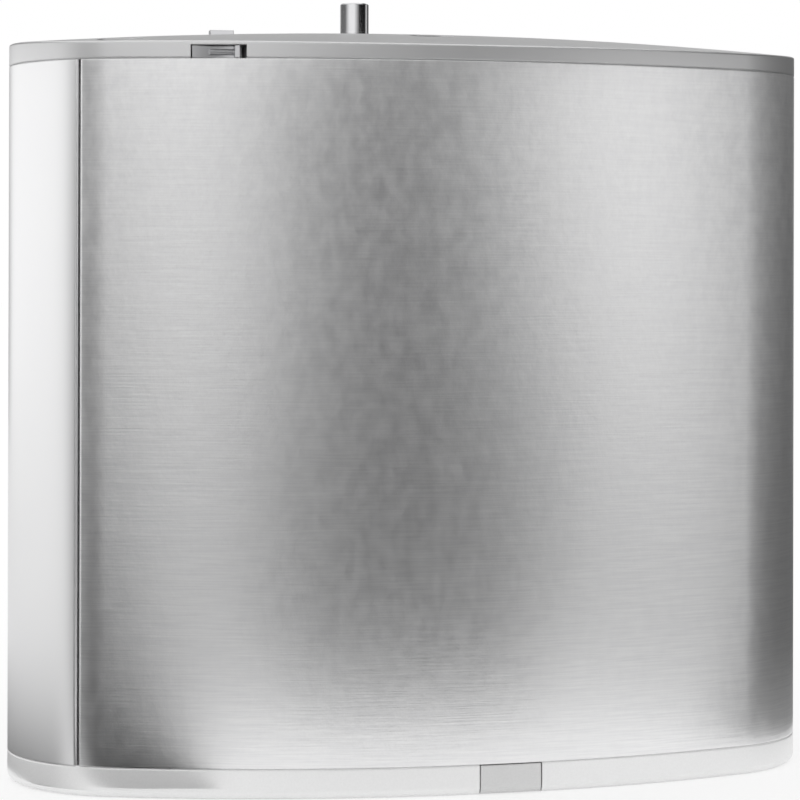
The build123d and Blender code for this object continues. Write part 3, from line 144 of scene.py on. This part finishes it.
def true_wall(tree, normal):
    """Takes the flats of the mesh out of a normal, where it is on the housing's wall."""
    place = add_node(tree, "ShaderNodeTexCoord").outputs["Object"]
    axis = add_node(tree, "ShaderNodeSeparateXYZ", {0: place}).outputs
    side = add_node(tree, "ShaderNodeMath", {0: axis["X"]}, operation="SIGN")
    face = add_node(tree, "ShaderNodeMath", {0: axis["Y"]}, operation="SIGN")
    reach = add_node(tree, "ShaderNodeMath", {0: axis["X"]}, operation="ABSOLUTE")
    at_end = add_node(tree, "ShaderNodeMath", {0: reach, 1: ARC_JOINT}, operation="GREATER_THAN")
    at_long = add_node(tree, "ShaderNodeMath", {0: 1.0, 1: at_end}, operation="SUBTRACT")
    end_side = add_node(tree, "ShaderNodeMath", {0: side, 1: at_end}, operation="MULTIPLY")
    centre_x = add_node(tree, "ShaderNodeMath", {0: end_side, 1: END_CENTRE}, operation="MULTIPLY")
    far_face = add_node(tree, "ShaderNodeMath", {0: face, 1: at_long}, operation="MULTIPLY")
    across = {0: far_face, 1: -LONG_CENTRE}
    centre_y = add_node(tree, "ShaderNodeMath", across, operation="MULTIPLY")
    centre = add_node(tree, "ShaderNodeCombineXYZ", {0: centre_x, 1: centre_y, 2: axis["Z"]})
    outward = add_node(tree, "ShaderNodeVectorMath", {0: place, 1: centre}, operation="SUBTRACT")
    outward = add_node(tree, "ShaderNodeVectorMath", {0: outward}, operation="NORMALIZE")
    flats = add_node(tree, "ShaderNodeNewGeometry").outputs["Normal"]
    match = add_node(tree, "ShaderNodeVectorMath", {0: outward, 1: flats}, operation="DOT_PRODUCT")
    on_wall = add_node(tree, "ShaderNodeMath", {0: match, 1: NEARLY_SAME}, operation="GREATER_THAN")
    change = add_node(tree, "ShaderNodeVectorMath", {0: outward, 1: flats}, operation="SUBTRACT")
    mend = add_node(tree, "ShaderNodeVectorMath", {0: change, "Scale": on_wall}, operation="SCALE")
    mended = add_node(tree, "ShaderNodeVectorMath", {0: normal, 1: mend}, operation="ADD")
    return add_node(tree, "ShaderNodeVectorMath", {0: mended}, operation="NORMALIZE")


# %% [markdown]
# ## The front: brushed anodised aluminium
# The front cover is bent from sheet that was brushed round the housing and then anodised clear.
# Brushing leaves fine level scratches, which smear each reflection up and down but hardly
# sideways. The eye gets soft upright bands of light and dark. Real scratches are about 0.05 mm
# wide, finer than a pixel here, so they are drawn 0.22 mm wide. The anodising also leaves faint
# clouds a few millimetres across, which show most high on the cover.

# %% Brushed aluminium
SCRATCH = (8.0, 8.0, 0.22)
SCRATCH_DEPTH = 0.010
CLOUD = (1.7, 1.7, 2.8)
CLOUD_DEPTH = 0.02
CLOUDS_START = 0.3 * height
CLOUDS_FULL = 0.75 * height
CLOUDS_BELOW = 0.12
CLOUDS_ABOVE = 0.5
# nearly all of a noise lies between these two, so that part is spread over 0 to 1
NOISE_LOW = 0.34
NOISE_HIGH = 0.66
BRUSHED_EDGE = 0.25
BRUSHED_SMOOTHEST = 0.26
BRUSHED_ROUGHEST = 0.36
BRUSHED_SMEAR = 0.55


def brushed_aluminium():
    material, tree = new_material("brushed anodised aluminium")
    scratches = pattern(tree, SCRATCH, detail=3.0, roughness=0.6)
    clouds = pattern(tree, CLOUD, detail=3.0, roughness=0.6)
    middle = {"From Min": NOISE_LOW, "From Max": NOISE_HIGH}
    scratch_mask = add_node(tree, "ShaderNodeMapRange", {"Value": scratches, **middle})
    cloud_mask = add_node(tree, "ShaderNodeMapRange", {"Value": clouds, **middle})
    lines = {"Factor": scratch_mask, "A": linear("#F0F0F1"), "B": linear("#FBFBFB")}
    lines = add_node(tree, "ShaderNodeMix", lines, data_type="RGBA")
    marks = {"Factor": cloud_mask, "A": linear("#E7E7E8"), "B": linear("#FDFDFD")}
    marks = add_node(tree, "ShaderNodeMix", marks, data_type="RGBA")
    place = add_node(tree, "ShaderNodeTexCoord").outputs["Object"]
    level = add_node(tree, "ShaderNodeSeparateXYZ", {0: place}).outputs["Z"]
    climb = {
        "Value": level,
        "From Min": CLOUDS_START,
        "From Max": CLOUDS_FULL,
        "To Min": CLOUDS_BELOW,
        "To Max": CLOUDS_ABOVE,
    }
    rise = add_node(tree, "ShaderNodeMapRange", climb)
    mixed = {"Factor": rise, "A": lines, "B": marks}
    edges = add_node(tree, "ShaderNodeBevel", {"Radius": BRUSHED_EDGE * MM}, samples=BEVEL_SAMPLES)
    wall = true_wall(tree, edges)
    grooves = {"Height": scratches, "Distance": SCRATCH_DEPTH * MM, "Strength": 1.0, "Normal": wall}
    grooves = add_node(tree, "ShaderNodeBump", grooves)
    relief = {"Height": clouds, "Distance": CLOUD_DEPTH * MM, "Strength": 1.0, "Normal": grooves}
    matt = {"Value": clouds, "To Min": BRUSHED_SMOOTHEST, "To Max": BRUSHED_ROUGHEST}
    surface = {
        "Base Color": add_node(tree, "ShaderNodeMix", mixed, data_type="RGBA"),
        "Metallic": 1.0,
        "Roughness": add_node(tree, "ShaderNodeMapRange", matt),
        "Anisotropic": BRUSHED_SMEAR,
        "Tangent": add_node(tree, "ShaderNodeTangent", direction_type="RADIAL", axis="Z"),
        "Normal": add_node(tree, "ShaderNodeBump", relief),
    }
    shader = add_node(tree, "ShaderNodeBsdfPrincipled", surface)
    add_node(tree, "ShaderNodeOutputMaterial", {"Surface": shader})
    return material


# %% [markdown]
# ## The back: fine satin aluminium
# The rear shell is the same metal with a bead-blasted face before anodising. It shows at the
# left end as a plain pale strip, smooth beside the brushed front: no lines, only a very fine
# even grain. The plated top cap, the latch and the cast and sintered pieces inside are made in
# the same way, from duller metal and with a coarser grain.

# %% Satin metal
WEAR = (18.0, 18.0, 18.0)
SATIN_EDGE = 0.2
SATIN_SPREAD = 0.03


def satin_metal(name, dark, light, roughness, grain_mm, grain_depth_mm, on_wall=False):
    """Blasted or cast metal: a fine even grain, and large faint changes of tone and polish."""
    material, tree = new_material(name)
    grain = pattern(tree, (grain_mm, grain_mm, grain_mm), detail=2.0, roughness=0.6)
    wear = pattern(tree, WEAR, detail=3.0, roughness=0.5)
    tint = {"Factor": wear, "A": linear(dark), "B": linear(light)}
    smoothest, roughest = roughness - SATIN_SPREAD, roughness + SATIN_SPREAD
    matt = {"Value": wear, "To Min": smoothest, "To Max": roughest}
    edges = add_node(tree, "ShaderNodeBevel", {"Radius": SATIN_EDGE * MM}, samples=BEVEL_SAMPLES)
    base = true_wall(tree, edges) if on_wall else edges
    relief = {"Height": grain, "Distance": grain_depth_mm * MM, "Strength": 1.0, "Normal": base}
    surface = {
        "Base Color": add_node(tree, "ShaderNodeMix", tint, data_type="RGBA"),
        "Metallic": 1.0,
        "Roughness": add_node(tree, "ShaderNodeMapRange", matt),
        "Normal": add_node(tree, "ShaderNodeBump", relief),
    }
    shader = add_node(tree, "ShaderNodeBsdfPrincipled", surface)
    add_node(tree, "ShaderNodeOutputMaterial", {"Surface": shader})
    return material


# %% [markdown]
# ## The bottom cap and its button: silver paint
# These are castings under silver paint, flakes of metal in a clear binder, so part of the light
# mirrors and part scatters. The flakes are about 0.05 mm across and are drawn 0.3 mm.

# %% Silver paint
FLAKE = (0.3, 0.3, 0.3)
FLAKE_DEPTH = 0.003
PAINT_EDGE = 0.25
PAINT_MIRRORS = 0.5
PAINT_ROUGHNESS = 0.36
PAINT_IOR = 1.5


def silver_paint(name, dark, light):
    material, tree = new_material(name)
    flakes = pattern(tree, FLAKE, detail=2.0, roughness=0.7)
    tint = {"Factor": flakes, "A": linear(dark), "B": linear(light)}
    edges = add_node(tree, "ShaderNodeBevel", {"Radius": PAINT_EDGE * MM}, samples=BEVEL_SAMPLES)
    wall = true_wall(tree, edges)
    relief = {"Height": flakes, "Distance": FLAKE_DEPTH * MM, "Strength": 1.0, "Normal": wall}
    surface = {
        "Base Color": add_node(tree, "ShaderNodeMix", tint, data_type="RGBA"),
        "Metallic": PAINT_MIRRORS,
        "Roughness": PAINT_ROUGHNESS,
        "IOR": PAINT_IOR,
        "Normal": add_node(tree, "ShaderNodeBump", relief),
    }
    shader = add_node(tree, "ShaderNodeBsdfPrincipled", surface)
    add_node(tree, "ShaderNodeOutputMaterial", {"Surface": shader})
    return material


# %% [markdown]
# ## Inside: plastics, ceramics and boards
# The frame, gearbox cover, sockets and relay are injection moulded, the magnets are pressed
# ferrite and the boards are coated with solder resist. All of them are even in colour with a
# slight texture from the mould, so one function serves, with its own colour and grain for each.

# %% Moulded plastic and coated boards
MOULD_DEPTH = 0.02
MOULD_EDGE = 0.15
MOULD_SPREAD = 0.06
MOULD_IOR = 1.49


def moulded_plastic(name, dark, light, roughness, grain_mm):
    material, tree = new_material(name)
    grain = pattern(tree, (grain_mm, grain_mm, grain_mm), detail=3.0, roughness=0.6)
    tint = {"Factor": grain, "A": linear(dark), "B": linear(light)}
    smoothest, roughest = roughness - MOULD_SPREAD, roughness + MOULD_SPREAD
    matt = {"Value": grain, "To Min": smoothest, "To Max": roughest}
    edges = add_node(tree, "ShaderNodeBevel", {"Radius": MOULD_EDGE * MM}, samples=BEVEL_SAMPLES)
    relief = {"Height": grain, "Distance": MOULD_DEPTH * MM, "Strength": 1.0, "Normal": edges}
    surface = {
        "Base Color": add_node(tree, "ShaderNodeMix", tint, data_type="RGBA"),
        "Roughness": add_node(tree, "ShaderNodeMapRange", matt),
        "IOR": MOULD_IOR,
        "Normal": add_node(tree, "ShaderNodeBump", relief),
    }
    shader = add_node(tree, "ShaderNodeBsdfPrincipled", surface)
    add_node(tree, "ShaderNodeOutputMaterial", {"Surface": shader})
    return material


# %% [markdown]
# ## Shafts, pins and bushes: turned metal
# A lathe leaves rings round the upright axis, a tenth of a millimetre or so apart. On the drive
# shaft they are polished down until they only soften its reflections.

# %% Turned metal
RING_LENGTH = 40.0
RING_DEPTH = 0.002
TURNED_EDGE = 0.1
TURNED_SPREAD = 0.2


def turned_metal(name, dark, light, roughness, groove_mm):
    """Metal from a lathe: fine rings round the upright axis."""
    material, tree = new_material(name)
    rings = pattern(tree, (RING_LENGTH, RING_LENGTH, groove_mm), detail=2.0, roughness=0.6)
    tint = {"Factor": rings, "A": linear(dark), "B": linear(light)}
    smoothest, roughest = roughness * (1 - TURNED_SPREAD), roughness * (1 + TURNED_SPREAD)
    gloss = {"Value": rings, "To Min": smoothest, "To Max": roughest}
    edges = add_node(tree, "ShaderNodeBevel", {"Radius": TURNED_EDGE * MM}, samples=BEVEL_SAMPLES)
    relief = {"Height": rings, "Distance": RING_DEPTH * MM, "Strength": 1.0, "Normal": edges}
    surface = {
        "Base Color": add_node(tree, "ShaderNodeMix", tint, data_type="RGBA"),
        "Metallic": 1.0,
        "Roughness": add_node(tree, "ShaderNodeMapRange", gloss),
        "Normal": add_node(tree, "ShaderNodeBump", relief),
    }
    shader = add_node(tree, "ShaderNodeBsdfPrincipled", surface)
    add_node(tree, "ShaderNodeOutputMaterial", {"Surface": shader})
    return material


# %% [markdown]
# ## A finish for every piece
# The record names a finish slot for each piece, and this table gives every slot its material. The
# pieces keep the shapes that the CAD gave them. The latch is the exception: it is a small zinc
# part that is tumbled smooth and not painted, so it gets a material of its own.

# %% The finish of each slot of the record
finishes = {
    "brushed_aluminium": brushed_aluminium(),
    "smooth_aluminium": satin_metal(
        "blasted anodised aluminium", "#F5F5F6", "#FAFAFA", 0.3, 0.3, 0.003, on_wall=True
    ),
    "satin_casting": satin_metal(
        "satin plated casting", "#E2E2E3", "#ECECEC", 0.42, 0.35, 0.005, on_wall=True
    ),
    "silver_casting": silver_paint("silver paint on a casting", "#EAEAEA", "#F4F4F4"),
    "silver_button": silver_paint("silver paint on a button", "#D2D2D2", "#DEDEDE"),
    "dark_moulding": moulded_plastic("glass-filled nylon", "#1A1A1B", "#262627", 0.55, 0.5),
    "gearbox_casting": satin_metal("die-cast aluminium", "#A9A9AA", "#BBBBBB", 0.5, 0.6, 0.02),
    "polished_steel": turned_metal("polished steel", "#DEDEE0", "#ECECED", 0.12, 0.15),
    "bronze": turned_metal("sintered bronze", "#A97B48", "#C29560", 0.4, 0.3),
    "spring_steel": turned_metal("blued spring steel", "#5E6066", "#74767C", 0.3, 0.2),
    "gear_steel": satin_metal("sintered steel", "#8B8B8D", "#A0A0A2", 0.42, 0.4, 0.012),
    "brass": turned_metal("machined brass", "#CFA85A", "#E2C078", 0.25, 0.2),
    "plated_steel": turned_metal("zinc-plated steel", "#B9BBBE", "#CDCFD2", 0.3, 0.25),
    "ferrite": moulded_plastic("sintered ferrite", "#232325", "#2E2E30", 0.5, 0.3),
    "light_moulding": moulded_plastic("natural nylon", "#D6D2C6", "#E2DED2", 0.45, 0.5),
    "graphite": moulded_plastic("pressed carbon", "#1B1B1B", "#262626", 0.6, 0.2),
    "circuit_board": moulded_plastic("green solder resist", "#0E4B2A", "#145A34", 0.3, 1.2),
    "black_moulding": moulded_plastic("black nylon", "#131313", "#1D1D1D", 0.45, 0.4),
    "capacitor_sleeve": moulded_plastic("shrink sleeve", "#1B2030", "#23293B", 0.3, 2.0),
    "relay_moulding": moulded_plastic("blue relay case", "#1E4C8C", "#275AA0", 0.4, 0.5),
}
slot_of = {part["node"]: part["material_slot"] for part in frame["record"]["subparts"]}
for name, piece in nodes.items():
    piece.data.materials.clear()
    piece.data.materials.append(finishes[slot_of[name]])
latch_finish = satin_metal("tumbled zinc", "#CACACC", "#D8D8DA", 0.28, 0.3, 0.004)
nodes["release_latch"].data.materials[0] = latch_finish
print("finishes", len(finishes), "on nodes", len(slot_of))

# %% [markdown]
# ## The leaf spring
# The latch leans on a bowed leaf spring. In the CAD the spring is one stiff piece, and a pressed
# latch would cut through it. A copy of its mesh takes its place, and the CAD piece is hidden; the
# copy keeps the spring's shape.

# %% The leaf spring, a copy in place of the CAD piece
leaf = bpy.data.objects.new("latch_leaf", nodes["latch_spring"].data.copy())
bpy.context.scene.collection.objects.link(leaf)
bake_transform(leaf)
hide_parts("latch_spring")

# %% [markdown]
# ## The studio
# Metal has almost no colour of its own. What it shows is the room, so the room is designed: a
# white studio at one plain level, with grey cards where the metal has to turn dark. At level 1
# the white floor and the white air are equally bright, and a colour renders as it is written.

# %% The white room and its floor
FLOOR_RADIUS = 8.0
FLOOR_SIDES = 64
# this share of the floor glows by itself, so the contact shadow stays as faint as on a light table
SHADOW_LIFT = 0.6

world = bpy.data.worlds.new("studio")
bpy.context.scene.world = world
world.use_nodes = True
room = world.node_tree
room.nodes.clear()
background = add_node(room, "ShaderNodeBackground", {"Color": linear("#FFFFFF"), "Strength": 1.0})
add_node(room, "ShaderNodeOutputWorld", {"Surface": background})


def mesh_object(name, mesh_maker, material):
    """A stage object whose mesh is filled in by mesh_maker(bm)."""
    bm = bmesh.new()
    mesh_maker(bm)
    mesh = bpy.data.meshes.new(name)
    bm.to_mesh(mesh)
    bm.free()
    mesh.materials.append(material)
    made = bpy.data.objects.new(name, mesh)
    bpy.context.scene.collection.objects.link(made)
    return made


paper, sheet = new_material("white paper")
ray = add_node(sheet, "ShaderNodeLightPath").outputs
direct, mirrored = ray["Is Camera Ray"], ray["Is Glossy Ray"]
seen = add_node(sheet, "ShaderNodeMath", {0: direct, 1: mirrored}, operation="ADD")
seen = add_node(sheet, "ShaderNodeMath", {0: seen, 1: ray["Is Transmission Ray"]}, operation="ADD")
lift = add_node(sheet, "ShaderNodeMath", {0: seen, 1: SHADOW_LIFT}, operation="MULTIPLY")
matt = add_node(sheet, "ShaderNodeBsdfDiffuse", {"Color": linear("#FFFFFF")})
glow = add_node(sheet, "ShaderNodeEmission", {"Strength": 1.0})
floor_paper = add_node(sheet, "ShaderNodeMixShader", {0: lift, 1: matt, 2: glow})
add_node(sheet, "ShaderNodeOutputMaterial", {"Surface": floor_paper})


def floor_disc(bm):
    bmesh.ops.create_circle(bm, cap_ends=True, segments=FLOOR_SIDES, radius=FLOOR_RADIUS)


mesh_object("floor", floor_disc, paper)
print("floor", 2 * FLOOR_RADIUS, "m across, shadow lifted by", SHADOW_LIFT)

# %% [markdown]
# ## Grey cards
# The cards stand in a ring a metre away. Each is graduated: grey in the middle and fading to
# white at both sides, because a hard edge would draw a line in polished metal. The middle card
# stands for the dark camera side, the right one darkens the far end, and the narrow left one
# gives the dark upright band beside the seam. Grey sheets lie on the floor before them, and three
# small flags above the crown give the shaft its own bands. Only the metal sees any of them: they
# are hidden from the camera and throw no light or shadow.
#
# Angles are in degrees, from the front round to the right. A tone is a share of full white. Each
# card has one tone low down and another high up, with a change between the two heights below.

# %% Graduated cards
RING = 1.0
CARD_TOP = 1.6
LOW_EDGE = 0.073
HIGH_EDGE = 0.173
SHEET_BEND = 0.175
SHEET_LAYER = 0.5 * MM
FOOT_MARGIN = 1.03
STEP = 2.0
SHAFT_X = -8.5 * MM
FLAG_LOW = 114 * MM
FLAG_HIGH = 134 * MM

card_paper, card = new_material("graduated grey card")
tone = add_node(card, "ShaderNodeAttribute", attribute_name="level").outputs["Fac"]
even_light = add_node(card, "ShaderNodeEmission", {"Strength": tone})
add_node(card, "ShaderNodeOutputMaterial", {"Surface": even_light})


def body_edge(turn):
    """Distance from the middle of the object to just outside its outline, seen from above."""
    return FOOT_MARGIN / sqrt((sin(turn) / (width / 2)) ** 2 + (cos(turn) / (depth / 2)) ** 2)


def graduated(name, start, end, fades, rows, middle=0.0, paler=0.0):
    """A card from start to end that fades to white before start and after end.

    Each row is (radius, height, tone, lean), where radius None stands for the object's foot and
    lean turns the row further, more and more towards the end. paler is added to the tones at the
    start and dies away. The card is bent round x = middle.
    """
    before, after = fades
    span = end - start + before + after

    def fill(bm):
        level = bm.verts.layers.float.new("level")
        count = round(span / STEP)
        columns = []
        for step in range(count + 1):
            share = step / count
            angle = start - before + span * share
            outside = max((start - angle) / before, (angle - end) / after, 0)
            column = []
            for radius, z, row_tone, lean in rows:
                turn = radians(angle + lean * share)
                reach = body_edge(turn) if radius is None else radius
                vert = bm.verts.new((middle + reach * sin(turn), -reach * cos(turn), z))
                shade = row_tone + paler * (1 - share) ** 3
                vert[level] = shade + (1 - shade) * min(outside, 1)
                column.append(vert)
            columns.append(column)
        for left, right in zip(columns, columns[1:]):
            for row in range(len(rows) - 1):
                bm.faces.new((left[row], right[row], right[row + 1], left[row + 1]))

    made = mesh_object(name, fill, card_paper)
    made.visible_camera = False
    made.visible_diffuse = False
    made.visible_shadow = False
    made.visible_transmission = False


def standing_card(name, start, end, fades, low, high, lean=0, paler=0.0):
    """A card in the ring with its two tones; its lower half may lean to the right."""
    lower = [(RING, 0.0, low, lean), (RING, LOW_EDGE, low, lean)]
    upper = [(RING, HIGH_EDGE, high, 0), (RING, CARD_TOP, high, 0)]
    graduated(name, start, end, fades, lower + upper, 0.0, paler)


def floor_sheet(name, start, end, fades, layer, reach, near, far, near_lean=0, far_lean=0):
    """A sheet on the floor, from reach out to the ring, with its tones near and far."""
    lift = layer * SHEET_LAYER
    inner = (reach, lift, near, near_lean)
    outer = [(SHEET_BEND, lift, far, 0), (RING, lift, far, far_lean)]
    graduated(name, start, end, fades, [inner] + outer)


def shaft_flag(name, start, end, fades, radius, grey):
    """A small card above the crown, bent round the shaft."""
    rows = [(radius, FLAG_LOW, grey, 0), (radius, FLAG_HIGH, grey, 0)]
    graduated(name, start, end, fades, rows, SHAFT_X)


# %% The cards of this studio
standing_card("left_card", -60, -46, (12, 12), 0.05, 0.25, lean=4)
standing_card("middle_card", -7, 12, (9, 14), 0.06, 0.09, lean=7)
standing_card("right_card", 57.5, 140, (10, 13), 0.1, 0.13, paler=0.34)
standing_card("back_card", 161, 196, (14, 14), 0.3, 0.36)
floor_sheet("pale_sheet", -180, 180, (1, 1), 1, 0.088, 0.8, 0.5)
floor_sheet("rear_sheet", -170, -77, (8, 8), 2, None, 0.15, 0.78)
floor_sheet("left_sheet", -64, -40, (7, 7), 3, None, 0.0, 0.01, near_lean=-20, far_lean=4)
floor_sheet("middle_sheet", -16, 22, (8, 10), 2, 0.08, 0.6, 0.09, far_lean=8)
floor_sheet("right_sheet", 63, 140, (10, 10), 2, 0.076, 0.25, 0.1)
shaft_flag("bright_flag", -70, 22, (4, 4), 0.084, 1.0)
shaft_flag("dark_flag", 30, 84, (42, 20), 0.082, 0.01)
shaft_flag("grey_flag", -150, -88, (6, 36), 0.08, 0.16)

# %% [markdown]
# ## The camera
# The photograph was taken from slightly left of the middle and just above half height, with a
# long lens. The eye point, the angles and the lens below were fitted to the edges of the two
# caps. The lens is shifted a little, as on a view camera, which keeps upright lines upright.

# %% The camera at the photograph's viewing angle
EYE = Vector((-81.3, -396.0, 72.8)) * MM
YAW = radians(11.52)
PITCH = radians(0.15)
ROLL = radians(0.13)
LENS = 120.25
SENSOR = 36.0
SHIFT_X = -0.0067
SHIFT_Y = -0.1548
NEAR_CLIP = 0.01

forward = Vector((sin(YAW) * cos(PITCH), cos(YAW) * cos(PITCH), sin(PITCH)))
level_right = Vector((cos(YAW), -sin(YAW), 0))
level_up = level_right.cross(forward)
right = level_right * cos(ROLL) + level_up * sin(ROLL)
up = level_up * cos(ROLL) - level_right * sin(ROLL)
camera_data = bpy.data.cameras.new("camera")
camera_data.lens = LENS
camera_data.sensor_width = SENSOR
camera_data.shift_x = SHIFT_X
camera_data.shift_y = SHIFT_Y
camera_data.clip_start = NEAR_CLIP
camera = bpy.data.objects.new("camera", camera_data)
bpy.context.scene.collection.objects.link(camera)
turned = Matrix((right, up, -forward)).transposed().to_4x4()
camera.matrix_world = Matrix.Translation(EYE) @ turned
bpy.context.scene.camera = camera
bpy.context.scene.view_settings.view_transform = "Standard"
print("camera at", [round(place / MM, 1) for place in EYE], "mm with a lens of", LENS, "mm")
